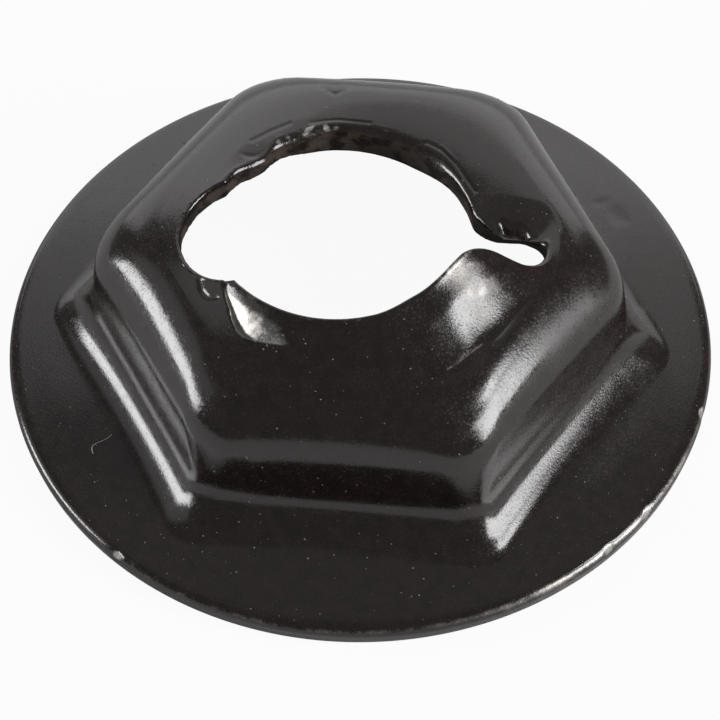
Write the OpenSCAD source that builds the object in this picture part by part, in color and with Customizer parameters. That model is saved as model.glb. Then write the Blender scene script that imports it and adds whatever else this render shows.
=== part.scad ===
// Flange nut pressed from one sheet of spring steel: a dished round flange, a six-sided
// raised body, a crown that climbs to the hole, and a hole edge formed as one turn of thread.
// Millimetres. Z is the axis of the flange and points from the seat to the crown.
// The origin is the centre of the flange on the plane that its rim seats on.

/* [Flange] */
// Outside diameter of the round flange
flange_d = 15; // [14.7:0.1:20]
// Thickness of the sheet
sheet = 0.5; // [0.35:0.05:0.65]
// Radius on the upper edge of the rim
rim_top_r = 0.18; // [0.05:0.01:0.3]
// Radius on the lower edge of the rim
rim_foot_r = 0.08; // [0.02:0.01:0.14]
// Rise of the dished flange from the rim to the hexagon, in degrees
flange_rise = 12; // [4:0.5:14]

/* [Pressed hexagon] */
// Distance across the flats where the walls meet the flange
hex_across = 10.08; // [9.2:0.02:10.4]
// Height above the seat at which the walls and the crown would meet without their bend
shoulder_h = 3.72; // [3.5:0.02:4.2]
// Inward lean of the walls, in degrees
wall_lean = 3; // [1:0.2:8]
// Bend radius at the foot of the walls, on the upper side
foot_bend_r = 0.95; // [0.5:0.01:1.1]
// Bend radius between the walls and the crown, on the upper side
shoulder_bend_r = 1.5; // [1:0.01:1.7]
// Corner radius between two walls where the foot bend runs out on the flange
corner_flange_r = 1.6; // [1:0.05:2.2]
// Corner radius between two walls at their foot
corner_foot_r = 1.5; // [0.75:0.05:2]
// Corner radius between two walls at the shoulder
corner_shoulder_r = 1.9; // [1:0.05:2.4]
// Corner radius where the shoulder bend runs out on the crown
corner_crown_r = 2.2; // [1.4:0.05:2.7]
// Turn of the hexagon about Z from corners on X, in degrees
hex_turn = -6; // [-15:0.5:15]

/* [Crown] */
// Slope of the crown just inside the shoulder bend, in degrees
crown_slope = 16.5; // [10:0.5:24]
// Rise of the middle of the lip's upper edge above the shoulder
lip_rise = 0.68; // [0.5:0.01:0.85]

/* [Thread lip] */
// Diameter of the hole inside the lip
bore_d = 5.44; // [5.2:0.02:5.8]
// Distance of the hole's axis from the flange's centre, along X
bore_x = -0.3; // [-0.4:0.01:0]
// Distance of the hole's axis from the flange's centre, along Y
bore_y = 0; // [-0.2:0.01:0.2]
// Rise of the lip over one whole turn
lip_pitch = 1.15; // [0.7:0.01:1.25]
// How much the rise is kept to the lip: one is a straight ramp from the shoulder
lip_focus = 1.5; // [1:0.1:2.5]

/* [Slot] */
// Width of the slot that splits the lip
slot_w = 1.14; // [0.8:0.02:1.3]
// Distance from the hole's axis to the centre of the slot's round end
slot_reach = 3.65; // [3.4:0.01:3.85]
// Direction of the slot about the hole's axis, in degrees from X
slot_turn = -7; // [-12:0.5:-3]
// Radius on the raised corner at the slot's mouth
mouth_high_r = 0.35; // [0.2:0.05:0.6]
// Radius on the lowered corner at the slot's mouth
mouth_low_r = 0.25; // [0.15:0.05:0.5]

/* [Relief] */
// Diameter of the bay cut into the hole's edge opposite the slot
relief_d = 2.8; // [2.6:0.02:3.2]
// Distance from the hole's axis to the centre of the bay
relief_reach = 1.95; // [1.75:0.01:2]
// Direction of the bay about the hole's axis, in degrees from X
relief_turn = 185; // [180:1:190]

/* [Hidden] */
$fn = 96;

// Width of the plain outer ring, and how far the pressed sheet runs into it
ring_w = 0.62;
ring_lap = 0.3;
// Where the sheet starts to thin inside the ring, how far it lies within the ring's faces there,
// and how far at its buried edge
lap_start = 0.05;
lap_step = 0.01;
lap_sink = 0.1;
// Distance the pressed crown runs inside the hole before it is cut
trim_in = 0.5;
// Half the turn over which the lip steps down inside the slot, in degrees
step_turn = 8;
// Overshoot of cutting bodies past what they cut
cut_over = 1;
// Angles in half a side, steps in the bends, and steps across the crown
half_side = 7;
foot_steps = 5;
shoulder_steps = 6;
crown_steps = 7;
// How strongly the angles crowd towards the corners
corner_crowd = 1.5;
// Least corner radius left on the inner side of the sheet
least_corner = 0.08;

flange_r = flange_d / 2;
bore_r = bore_d / 2;
half_hex = hex_across / 2;
lip_h = shoulder_h + lip_rise;
cut_h = lip_h + lip_pitch + 2 * cut_over;

// Sharp lower edge of the rim, set so that its rounded edges touch the flange's size and the seat
edge_r = flange_r - rim_top_r * (1 - cos(flange_rise)) - (sheet - rim_top_r) * sin(flange_rise);
edge_h = rim_foot_r * (1 - sin(flange_rise) - cos(flange_rise));
// Sharp upper edge of the rim, and the height of the flange's upper face at the foot of the walls
rim_r = edge_r + sheet * sin(flange_rise);
rim_h = edge_h + sheet * cos(flange_rise);
foot_h = rim_h + (rim_r - half_hex) * tan(flange_rise);

// Directions in the section of a side, as [outward, up]
flange_dir = [-cos(flange_rise), sin(flange_rise)];
wall_dir = [-sin(wall_lean), cos(wall_lean)];
crown_dir = [-cos(crown_slope), sin(crown_slope)];
foot_turn = 90 - wall_lean - flange_rise;
shoulder_turn = 90 - wall_lean - crown_slope;
// Points of the section: the sharp foot, the sharp shoulder, and the ends and centres of the bends
foot_edge = [half_hex, foot_h];
shoulder_edge = foot_edge + wall_dir * (shoulder_h - foot_h) / cos(wall_lean);
foot_len = foot_bend_r * tan(foot_turn / 2);
shoulder_len = shoulder_bend_r * tan(shoulder_turn / 2);
foot_start = foot_edge - flange_dir * foot_len;
foot_centre = foot_start + [sin(flange_rise), cos(flange_rise)] * foot_bend_r;
wall_top = shoulder_edge - wall_dir * shoulder_len;
shoulder_centre = wall_top - [cos(wall_lean), sin(wall_lean)] * shoulder_bend_r;
crown_start = shoulder_edge + crown_dir * shoulder_len;

// Angles round the hexagon, from a corner, crowded at the corners
angles = [
    for (side = [0 : 5])
        for (i = [1 - half_side : half_side])
            let (k = i / half_side)
            60 * side + 30 * sign(k) * pow(abs(k), corner_crowd)
];
turns = len(angles);

function blend(a, b, f) = a * (1 - f) + b * f;
function soft(f) = f * f * (3 - 2 * f);
function within(f) = min(1, max(0, f));

// Distance from the centre to the edge of a hexagon with rounded corners, in one direction
function hex_radius(angle, apothem, corner) =
    let (
        off = abs((angle + 390) % 60 - 30),
        arc_centre = (apothem - corner) / cos(30),
        arc_end = atan2(corner * sin(30), arc_centre + corner * cos(30)),
        inside = max(0, corner * corner - pow(arc_centre * sin(off), 2))
    )
    off < arc_end ? arc_centre * cos(off) + sqrt(inside) : apothem / cos(30 - off);

// One ring of points round the hexagon, at a depth of the sheet under a point of the section.
// The drop lowers the ring towards its corners, where it lies further out on a cone.
function hex_ring(point, corner, tilt, depth, drop = 0) =
    let (
        out = point[0] - depth * sin(tilt),
        up = point[1] - depth * cos(tilt),
        bend = max(least_corner, corner - depth * sin(tilt))
    )
    [
        for (angle = angles)
            let (r = hex_radius(angle, out, bend), way = angle + hex_turn)
            [r * cos(way), r * sin(way), up + drop * (out - r)]
    ];

// A round ring of the pressed sheet, a distance into the outer ring and within both of its faces
function round_ring(depth, lap, within_by) =
    [
        for (angle = angles)
            let (
                way = angle + hex_turn,
                inward = ring_w - lap,
                down = depth + within_by * (1 - 2 * depth / sheet),
                r = rim_r - inward * cos(flange_rise) - down * sin(flange_rise),
                up = rim_h + inward * sin(flange_rise) - down * cos(flange_rise)
            )
            [r * cos(way), r * sin(way), up]
    ];

// Share of a turn anticlockwise from the slot, stepping back to none inside the slot
function turn_share(way) =
    let (
        off = (way - slot_turn + 900) % 360 - 180,
        low = step_turn / 360,
        share = soft(within((step_turn - off) / (2 * step_turn)))
    )
    abs(off) < step_turn ? blend(low, 1 - low, share) : off > 0 ? off / 360 : 1 + off / 360;

// One ring of points on the crown, a share of the way from the shoulder bend to inside the hole
function crown_ring(share, depth) =
    [
        for (p = hex_ring(crown_start, corner_crown_r, 0, 0, tan(crown_slope)))
            let (
                x = p[0] - bore_x,
                y = p[1] - bore_y,
                way = atan2(y, x),
                start_r = sqrt(x * x + y * y),
                r = blend(start_r, bore_r - trim_in, share),
                climb = (start_r - r) / (start_r - bore_r),
                lift = lip_pitch * (turn_share(way) - 0.5) * pow(climb, lip_focus),
                up = blend(p[2], lip_h, climb) + lift,
                slide = depth * sin(crown_slope)
            )
            [
                bore_x + (r - slide) * cos(way),
                bore_y + (r - slide) * sin(way),
                up - depth * cos(crown_slope)
            ]
    ];

// All rings of one face of the sheet, from the flange to the hole
function sheet_rings(depth) =
    concat(
        [round_ring(depth, ring_lap, lap_sink)],
        [round_ring(depth, lap_start, lap_step)],
        [
            for (i = [0 : foot_steps])
                let (
                    f = i / foot_steps,
                    tilt = flange_rise + f * foot_turn,
                    point = foot_centre - [sin(tilt), cos(tilt)] * foot_bend_r
                )
                hex_ring(
                    point,
                    blend(corner_flange_r, corner_foot_r, f),
                    tilt,
                    depth,
                    pow(1 - f, 2) * tan(flange_rise)
                )
        ],
        [
            for (i = [0 : shoulder_steps])
                let (
                    f = i / shoulder_steps,
                    tilt = 90 - wall_lean - f * shoulder_turn,
                    point = shoulder_centre + [sin(tilt), cos(tilt)] * shoulder_bend_r
                )
                hex_ring(
                    point,
                    blend(corner_shoulder_r, corner_crown_r, f),
                    tilt,
                    depth,
                    soft(f) * tan(crown_slope)
                )
        ],
        [for (i = [1 : crown_steps]) crown_ring(i / crown_steps, depth)]
    );

function reversed(list) = [for (i = [len(list) - 1 : -1 : 0]) list[i]];

// The pressed sheet, from a round edge in the flange to an edge inside the hole
module pressed_sheet() {
    rings = concat(sheet_rings(0), reversed(sheet_rings(sheet)));
    count = len(rings);
    polyhedron(
        points = [for (ring = rings) for (p = ring) p],
        faces = [
            for (i = [0 : count - 1])
                for (j = [0 : turns - 1])
                    let (
                        a = i * turns + j,
                        b = i * turns + (j + 1) % turns,
                        c = ((i + 1) % count) * turns + (j + 1) % turns,
                        d = ((i + 1) % count) * turns + j
                    )
                    for (face = [[a, d, c], [a, c, b]]) face
        ],
        convexity = 8
    );
}

// Section of the plain outer ring of the flange, with its rounded rim
module ring_section() {
    translate([edge_r, edge_h]) {
        rotate(-flange_rise) {
            translate([-ring_w, 0]) square([ring_w - rim_top_r, sheet]);
            translate([-ring_w, 0]) square([ring_w - rim_foot_r, sheet - rim_top_r]);
            translate([-ring_w, rim_foot_r]) square([ring_w, sheet - rim_top_r - rim_foot_r]);
            translate([-rim_top_r, sheet - rim_top_r]) circle(r = rim_top_r);
            translate([-rim_foot_r, rim_foot_r]) circle(r = rim_foot_r);
        }
    }
}

// The plain outer ring of the flange
module outer_ring() {
    rotate_extrude() ring_section();
}

// A piece that rounds one corner between the hole and the slot, on the side given by its sign
module mouth_round(side, round_r) {
    far = slot_w / 2 + round_r;
    along = sqrt(pow(bore_r + round_r, 2) - far * far);
    touch = bore_r / (bore_r + round_r);
    linear_extrude(height = cut_h) {
        difference() {
            polygon([
                [0, 0],
                [along, 0],
                [along, side * far],
                [along * touch, side * far * touch]
            ]);
            translate([along, side * far]) circle(r = round_r);
        }
    }
}

// Everything cut from the crown: the hole, the slot with its rounded mouth, and the bay
module crown_cut() {
    translate([bore_x, bore_y, -cut_over]) {
        cylinder(r = bore_r, h = cut_h);
        rotate([0, 0, slot_turn]) {
            translate([0, -slot_w / 2, 0]) cube([slot_reach, slot_w, cut_h]);
            translate([slot_reach, 0, 0]) cylinder(d = slot_w, h = cut_h);
            mouth_round(-1, mouth_high_r);
            mouth_round(1, mouth_low_r);
        }
        rotate([0, 0, relief_turn]) translate([relief_reach, 0, 0]) cylinder(d = relief_d, h = cut_h);
    }
}

module flange_nut() {
    color("#2d2a28") {
        difference() {
            union() {
                outer_ring();
                pressed_sheet();
            }
            crown_cut();
        }
    }
}

flange_nut();
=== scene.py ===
"""Flange nut pressed from one sheet of black steel, dressed with its lip, press marks, worn spots, painted
highlights and dust.
"""
import logging
import math
from dataclasses import asdict, dataclass, field, fields
from enum import Enum
from typing import Protocol

import bpy
import numpy as np
from mathutils import Matrix, Vector, noise


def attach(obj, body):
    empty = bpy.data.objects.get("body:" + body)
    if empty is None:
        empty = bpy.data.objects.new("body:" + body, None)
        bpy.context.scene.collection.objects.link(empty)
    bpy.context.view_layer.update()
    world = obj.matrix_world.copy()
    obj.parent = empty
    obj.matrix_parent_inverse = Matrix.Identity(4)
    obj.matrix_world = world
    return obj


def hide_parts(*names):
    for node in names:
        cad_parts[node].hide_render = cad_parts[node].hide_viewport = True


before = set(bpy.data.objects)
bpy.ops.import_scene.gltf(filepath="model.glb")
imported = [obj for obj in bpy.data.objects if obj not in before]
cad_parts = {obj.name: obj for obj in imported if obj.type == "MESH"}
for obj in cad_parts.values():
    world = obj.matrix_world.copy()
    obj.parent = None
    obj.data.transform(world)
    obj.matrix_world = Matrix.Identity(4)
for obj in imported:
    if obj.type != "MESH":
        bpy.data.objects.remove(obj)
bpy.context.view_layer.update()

MM = 0.001
LOG = logging.getLogger("flange_nut")
SIDES = 6
# Steps in x, y and z that set one noise apart from another.
SEED_STEP = (7.31, 3.17, 5.73)
# Points of the sheet's seam that lie closer than this become one.
WELD = 0.0002 * MM
# Directions from the slot, in radians, at which the softer edge of the lip starts and ends.
SLOT_ROLL_ENDS = ((-0.2, -0.1), (0.22, 0.34))
BACK_ROLL_ENDS = ((0.55, 0.95), (2.5, 2.9))
# Values at which a soft step starts and ends.
Ends = tuple[float, float]
# Red, green and blue.
Rgb = tuple[float, float, float]
# A colour from a node or as plain numbers.
Colour = bpy.types.NodeSocket | Rgb


class Field:
    """A number that changes over a surface, written with ordinary arithmetic into a node tree."""

    def __init__(self, tree: bpy.types.NodeTree, socket: bpy.types.NodeSocket) -> None:
        """Keeps the tree and the output socket that carries the number."""
        self.tree = tree
        self.socket = socket

    def math(self, operation: str, *values: "Field | float") -> "Field":
        """Adds one Math node.

        Args:
            operation: Name of the Math node's operation.
            values: Its inputs in order, as fields or plain numbers.

        Returns:
            The field that the node puts out.
        """
        node = self.tree.nodes.new("ShaderNodeMath")
        node.operation = operation
        for socket, value in zip(node.inputs, values):
            if isinstance(value, Field):
                self.tree.links.new(value.socket, socket)
            else:
                socket.default_value = value
        return Field(self.tree, node.outputs[0])

    def __add__(self, other: "Field | float") -> "Field":
        """Sum."""
        return self.math("ADD", self, other)

    def __radd__(self, other: float) -> "Field":
        """Sum with a plain number first."""
        return self.math("ADD", other, self)

    def __sub__(self, other: "Field | float") -> "Field":
        """Difference."""
        return self.math("SUBTRACT", self, other)

    def __rsub__(self, other: float) -> "Field":
        """Difference from a plain number."""
        return self.math("SUBTRACT", other, self)

    def __mul__(self, other: "Field | float") -> "Field":
        """Product."""
        return self.math("MULTIPLY", self, other)

    def __rmul__(self, other: float) -> "Field":
        """Product with a plain number first."""
        return self.math("MULTIPLY", other, self)

    def __truediv__(self, other: "Field | float") -> "Field":
        """Quotient."""
        return self.math("DIVIDE", self, other)

    def __pow__(self, other: "Field | float") -> "Field":
        """Power."""
        return self.math("POWER", self, other)

    def sin(self) -> "Field":
        """Sine of an angle in radians."""
        return self.math("SINE", self)

    def cos(self) -> "Field":
        """Cosine of an angle in radians."""
        return self.math("COSINE", self)

    def tan(self) -> "Field":
        """Tangent of an angle in radians."""
        return self.math("TANGENT", self)

    def root(self) -> "Field":
        """Square root, and nought below nought."""
        return self.math("SQRT", self.math("MAXIMUM", self, 0.0))

    def size(self) -> "Field":
        """Value without its sign."""
        return self.math("ABSOLUTE", self)

    def sign(self) -> "Field":
        """Sign, as minus one, nought or one."""
        return self.math("SIGN", self)

    def floor(self) -> "Field":
        """Whole part, rounded down."""
        return self.math("FLOOR", self)

    def turn_from(self, start: "Field") -> "Field":
        """Angle from another one, between minus and plus half a turn."""
        return self.math("WRAP", self - start, math.pi, -math.pi)

    def way_to(self, across: "Field") -> "Field":
        """Direction of a point whose upright distance is this field."""
        return self.math("ARCTAN2", self, across)

    def most(self, other: "Field | float") -> "Field":
        """Larger of two values."""
        return self.math("MAXIMUM", self, other)

    def within(self) -> "Field":
        """Value held between nought and one."""
        return self.math("MINIMUM", self.math("MAXIMUM", self, 0.0), 1.0)

    def below(self, other: "Field | float") -> "Field":
        """One where this field is less than the other, and nought elsewhere."""
        return self.math("LESS_THAN", self, other)

    def choose(self, yes: "Field | float", no: "Field | float") -> "Field":
        """One value where this field is one, and another where it is nought."""
        return self * yes + (1.0 - self) * no

    def between(self, low: "Field | float", high: "Field | float") -> "Field":
        """Value this share of the way from a low to a high one."""
        return low + self * (high - low)

    def step(self, low: float, high: float) -> "Field":
        """Soft step from nought at a low value to one at a high one."""
        part = ((self - low) / (high - low)).within()
        return part * part * (3.0 - 2.0 * part)

    def stretch(self, start: Ends, end: Ends) -> "Field":
        """One between a soft start and a soft end, and nought outside them."""
        return self.step(*start) * (1.0 - self.step(*end))


class Run(Enum):
    """Runs of the sheet's section in order, each with its place and its number of rows."""

    RIM_UP = (0, 2)
    RIM_TOP = (1, 6)
    FLANGE = (2, 9)
    FOOT = (3, 9)
    WALL = (4, 6)
    SHOULDER = (5, 14)
    CROWN = (6, 46)
    LIP_TOP = (7, 5)
    LIP_FACE = (8, 6)
    LIP_FOOT = (9, 3)
    CROWN_UNDER = (10, 10)
    SHOULDER_UNDER = (11, 6)
    WALL_UNDER = (12, 3)
    FOOT_UNDER = (13, 6)
    FLANGE_UNDER = (14, 4)
    RIM_FOOT = (15, 3)
    RIM_DOWN = (16, 2)

    @property
    def rows(self) -> int:
        """Number of rows in the run."""
        return self.value[1]

    @property
    def start(self) -> int:
        """Row on which the run starts."""
        return sum(run.rows for run in Run if run.value[0] < self.value[0])


SECTION_ROWS = sum(run.rows for run in Run)


def smooth(low: float | np.ndarray, high: float | np.ndarray, value: np.ndarray) -> np.ndarray:
    """Soft step.

    Args:
        low: Value at which the step starts.
        high: Value at which the step ends.
        value: Values to test.

    Returns:
        Nought before the step, one after it, and a soft rise between.
    """
    share = np.clip((value - low) / (high - low), 0.0, 1.0)
    return share * share * (3.0 - 2.0 * share)


@dataclass(frozen=True)
class Span:
    """A stretch of a measure with soft ends."""

    low: float
    high: float
    soft: float

    def share(self, value: np.ndarray) -> np.ndarray:
        """One inside the stretch, falling softly to nought outside it."""
        begun = smooth(self.low - self.soft, self.low + self.soft, value)
        return begun * (1.0 - smooth(self.high - self.soft, self.high + self.soft, value))


def grain(points: np.ndarray, scale: float, seed: float) -> np.ndarray:
    """Even three-way noise.

    Args:
        points: Places in millimetres, one row each.
        scale: Number of grains in a millimetre.
        seed: Number that sets this noise apart from others.

    Returns:
        Values from about minus one to one.
    """
    shift = Vector([seed * step for step in SEED_STEP])
    return np.array([noise.noise(Vector(p) * scale + shift) for p in points])


def new_object(name: str, mesh: bpy.types.Mesh | None = None) -> bpy.types.Object:
    """Puts a new mesh object at the origin of the scene."""
    made = bpy.data.objects.new(name, mesh or bpy.data.meshes.new(name))
    bpy.context.scene.collection.objects.link(made)
    return made


def new_tree(name: str, kind: str, inputs: dict[str, str], outputs: dict[str, str]) -> bpy.types.NodeTree:
    """Starts a node tree with named sockets.

    Args:
        name: Name of the tree.
        kind: Type of the tree, for shapes or for finishes.
        inputs: Kind of each input socket by its name.
        outputs: Kind of each output socket by its name.

    Returns:
        The tree, with its input and output nodes in place.
    """
    tree = bpy.data.node_groups.new(name, kind)
    for way, sockets in (("INPUT", inputs), ("OUTPUT", outputs)):
        for title, form in sockets.items():
            tree.interface.new_socket(title, in_out=way, socket_type="NodeSocket" + form)
    tree.nodes.new("NodeGroupInput").name = "in"
    tree.nodes.new("NodeGroupOutput").name = "out"
    return tree


def run_tree(name: str, tree: bpy.types.NodeTree, values: dict[str, object]) -> bpy.types.Object:
    """Makes a piece as a plain mesh from a geometry tree.

    Args:
        name: Name of the piece.
        tree: Geometry tree that makes its shape.
        values: What each input of the tree gets, by the input's name.

    Returns:
        The piece, at the origin.
    """
    piece = new_object(name)
    maker = piece.modifiers.new(tree.name, "NODES")
    maker.node_group = tree
    for socket in tree.interface.items_tree:
        if socket.in_out == "INPUT":
            maker[socket.identifier] = values[socket.name]
    depsgraph = bpy.context.evaluated_depsgraph_get()
    made = bpy.data.meshes.new_from_object(piece.evaluated_get(depsgraph))
    piece.modifiers.clear()
    empty = piece.data
    piece.data = made
    bpy.data.meshes.remove(empty)
    return piece


def finish_tree(tree: bpy.types.NodeTree, flow: bpy.types.NodeSocket, finish: bpy.types.Material) -> None:
    """Ends a geometry tree in Realize Instances and Set Material.

    Args:
        tree: Geometry tree that is being built.
        flow: Socket that carries the shape so far.
        finish: Material that the shape gets.
    """
    real = tree.nodes.new("GeometryNodeRealizeInstances")
    dress = tree.nodes.new("GeometryNodeSetMaterial")
    dress.inputs["Material"].default_value = finish
    tree.links.new(flow, real.inputs["Geometry"])
    tree.links.new(real.outputs["Geometry"], dress.inputs["Geometry"])
    tree.links.new(dress.outputs["Geometry"], tree.nodes["out"].inputs[0])


@dataclass
class PressedSheet:
    """The one sheet of the nut, as a rule in its section and round its hexagon. Lengths are metres."""

    flange_radius: float = 7.5 * MM
    sheet: float = 0.5 * MM
    rim_top_round: float = 0.18 * MM
    rim_foot_round: float = 0.08 * MM
    flange_rise: float = math.radians(12)
    half_hexagon: float = 5.04 * MM
    shoulder_height: float = 3.72 * MM
    wall_lean: float = math.radians(3)
    foot_bend: float = 0.95 * MM
    shoulder_bend: float = 1.5 * MM
    corner_on_flange: float = 0.75 * MM
    corner_at_foot: float = 0.8 * MM
    corner_at_shoulder: float = 1.25 * MM
    corner_on_crown: float = 2.2 * MM
    sharpest_corner: float = 0.08 * MM
    hexagon_turn: float = math.radians(-6)
    crown_slope: float = math.radians(16.5)
    lip_height: float = 4.4 * MM
    bore_radius: float = 2.72 * MM
    bore_x: float = -0.3 * MM
    bore_y: float = 0.0 * MM
    lip_pitch: float = 1.15 * MM
    lip_focus: float = 1.5
    lip_step: float = math.radians(8)
    slot_half: float = 0.6 * MM
    slot_reach: float = 3.55 * MM
    slot_turn: float = math.radians(-7)
    mouth_high: float = 0.75 * MM
    mouth_low: float = 0.65 * MM
    bay_radius: float = 1.42 * MM
    bay_reach: float = 1.95 * MM
    bay_turn: float = math.radians(185)
    edge_top_round: float = 0.09 * MM
    edge_foot_round: float = 0.05 * MM
    slot_roll: float = 0.06 * MM
    back_roll: float = 0.12 * MM
    corner_crowd: float = 1.35
    columns: int = 660

    def flange_height(self, x: float, y: float) -> float:
        """Height of the flange's upper face under a point."""
        out, rise = math.hypot(x, y), self.flange_rise
        rim = self.flange_radius - self.rim_top_round * (1.0 - math.cos(rise) - math.sin(rise))
        edge = self.rim_foot_round * (1.0 - math.sin(rise) - math.cos(rise)) + self.sheet * math.cos(rise)
        return edge + (rim - out) * math.tan(rise)

    def hole_edge(self, s: dict[str, Field], way: Field, off: Field) -> Field:
        """Distance from the hole's axis to the cut edge, in one direction.

        Args:
            s: Sizes as fields.
            way: Direction about the hole's axis.
            off: Direction from the middle of the slot.

        Returns:
            The distance, round the hole, the slot with its rounded mouth, and the bay.
        """
        aside = off.sin().size()
        round_end = (s["slot_half"] ** 2.0 - (s["slot_reach"] * off.sin()) ** 2.0).root()
        cap = s["slot_reach"] * off.cos() + round_end
        side = s["slot_half"] / aside
        slot = (s["slot_half"] * off.cos() / aside).below(s["slot_reach"]).choose(side, cap)
        mouth = off.below(0.0).choose(s["mouth_high"], s["mouth_low"])
        far = s["slot_half"] + mouth
        reach = s["bore_radius"] + mouth
        along = (reach ** 2.0 - far ** 2.0).root()
        swing = off.size() - far.way_to(along)
        rounding = reach * swing.cos() - (mouth ** 2.0 - (reach * swing.sin()) ** 2.0).root()
        near_mouth = off.size().below(far.way_to(along)).choose(rounding, s["bore_radius"])
        edge = off.size().below(s["slot_half"].way_to(along)).choose(slot, near_mouth)
        turn = way.turn_from(s["bay_turn"])
        inside = s["bay_radius"] ** 2.0 - (s["bay_reach"] * turn.sin()) ** 2.0
        bay = inside.below(0.0).choose(0.0, s["bay_reach"] * turn.cos() + inside.root())
        return edge.most(bay)

    def lip_share(self, s: dict[str, Field], off: Field) -> Field:
        """Share of the lip's turn, anticlockwise from the slot and stepping back inside it."""
        plain = off.below(0.0).choose(1.0 + off / math.tau, off / math.tau)
        low = s["lip_step"] / math.tau
        part = ((s["lip_step"] - off) / (2.0 * s["lip_step"])).within()
        step = (part * part * (3.0 - 2.0 * part)).between(low, 1.0 - low)
        return off.size().below(s["lip_step"]).choose(step, plain)

    def rule(self, tree: bpy.types.NodeTree, s: dict[str, Field]) -> dict[str, Field]:
        """Writes the whole shape as fields of a grid's point number.

        Args:
            tree: Geometry tree that is being built.
            s: Sizes as fields.

        Returns:
            The place of a point, its depth in the sheet and its share of the crown.
        """
        number = Field(tree, tree.nodes.new("GeometryNodeInputIndex").outputs[0])
        per_column = SECTION_ROWS + 1.0
        column = ((number + 0.5) / per_column).floor()
        row = number - column * per_column
        p = {run: ((row - float(run.start)) / float(run.rows)).within() for run in Run}
        quarter, sixth = math.pi / 2, math.tau / SIDES
        half_side = sixth / 2
        spin = column / s["columns"] * float(SIDES)
        side = (spin + 0.5).floor()
        part = spin - side
        crowded = (part * 2.0).size() ** s["corner_crowd"] * half_side
        angle = side * sixth + part.sign() * crowded + s["hexagon_turn"]
        on_flange = p[Run.FLANGE] - p[Run.FLANGE_UNDER]
        on_foot = p[Run.FOOT] - p[Run.FOOT_UNDER]
        on_wall = p[Run.WALL] - p[Run.WALL_UNDER]
        on_shoulder = p[Run.SHOULDER] - p[Run.SHOULDER_UNDER]
        on_crown = p[Run.CROWN] - p[Run.CROWN_UNDER]
        half = s["sheet"] * 0.5
        rim_top, rim_foot = s["rim_top_round"], s["rim_foot_round"]
        aside = angle.turn_from(s["slot_turn"])
        roll = s["slot_roll"] * aside.stretch(*SLOT_ROLL_ENDS)
        roll = roll + s["back_roll"] * aside.stretch(*BACK_ROLL_ENDS)
        top, foot = s["edge_top_round"] + roll, s["edge_foot_round"]
        bend = {run: p[run] * quarter for run in (Run.RIM_TOP, Run.LIP_TOP, Run.LIP_FOOT, Run.RIM_FOOT)}
        depth = half - (half - rim_top) * p[Run.RIM_UP] - rim_top * bend[Run.RIM_TOP].sin()
        depth = depth + top * (1.0 - bend[Run.LIP_TOP].cos())
        depth = depth + (s["sheet"] - top - foot) * p[Run.LIP_FACE] + foot * bend[Run.LIP_FOOT].sin()
        depth = depth - rim_foot * (1.0 - bend[Run.RIM_FOOT].cos()) - (half - rim_foot) * p[Run.RIM_DOWN]
        rim_in = rim_top * (1.0 - bend[Run.RIM_TOP].cos()) * (1.0 - p[Run.LIP_FACE])
        rim_in = rim_in + rim_foot * p[Run.LIP_FACE] * (1.0 - bend[Run.RIM_FOOT].sin())
        lip_in = top * (1.0 - bend[Run.LIP_TOP].sin()) + foot * (1.0 - bend[Run.LIP_FOOT].cos())

        rise, lean, slope = s["flange_rise"], s["wall_lean"], s["crown_slope"]
        rim_r = s["flange_radius"] - rim_top * (1.0 - rise.cos()) + rim_top * rise.sin()
        rim_h = rim_foot * (1.0 - rise.sin() - rise.cos()) + s["sheet"] * rise.cos()
        foot_h = rim_h + (rim_r - s["half_hexagon"]) * rise.tan()
        upright = quarter - lean
        foot_turn = upright - rise
        shoulder_turn = upright - slope
        foot_len = s["foot_bend"] * (foot_turn * 0.5).tan()
        shoulder_len = s["shoulder_bend"] * (shoulder_turn * 0.5).tan()
        wall_len = (s["shoulder_height"] - foot_h) / lean.cos() - foot_len - shoulder_len
        bend_in = rise + on_foot * foot_turn
        bend_out = upright - on_shoulder * shoulder_turn
        tilt = bend_in - on_shoulder * shoulder_turn
        out = s["half_hexagon"] + foot_len * rise.cos() + s["foot_bend"] * (rise.sin() - bend_in.sin())
        out = out - lean.sin() * wall_len * on_wall - s["shoulder_bend"] * (upright.sin() - bend_out.sin())
        out = out - depth * tilt.sin()
        up = foot_h - foot_len * rise.sin() + s["foot_bend"] * (rise.cos() - bend_in.cos())
        up = up + lean.cos() * wall_len * on_wall + s["shoulder_bend"] * (bend_out.cos() - upright.cos())
        corner = on_foot.between(s["corner_on_flange"], s["corner_at_foot"])
        corner = corner + on_wall * (s["corner_at_shoulder"] - s["corner_at_foot"])
        corner = corner + on_shoulder * (s["corner_on_crown"] - s["corner_at_shoulder"]) - depth * tilt.sin()
        corner = corner.most(s["sharpest_corner"])

        arc = (out - corner) / math.cos(half_side)
        arc_end = (corner * math.sin(half_side)).way_to(arc + corner * math.cos(half_side))
        rounded = arc * crowded.cos() + (corner ** 2.0 - (arc * crowded.sin()) ** 2.0).root()
        reach = crowded.below(arc_end).choose(rounded, out / (half_side - crowded).cos())
        x = reach * angle.cos()
        y = reach * angle.sin()
        eased = on_shoulder * on_shoulder * (3.0 - 2.0 * on_shoulder)
        drop = ((1.0 - on_foot) ** 2.0 * rise.tan() + eased * slope.tan()) * (reach - out)
        rim = rim_r - rim_in * rise.cos() - depth * rise.sin()
        rim_up = rim_h + rim_in * rise.sin() - depth * rise.cos()
        x, y = on_flange.between(rim * angle.cos(), x), on_flange.between(rim * angle.sin(), y)
        sheet_up = on_flange.between(rim_up, up - depth * tilt.cos() - drop)

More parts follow.
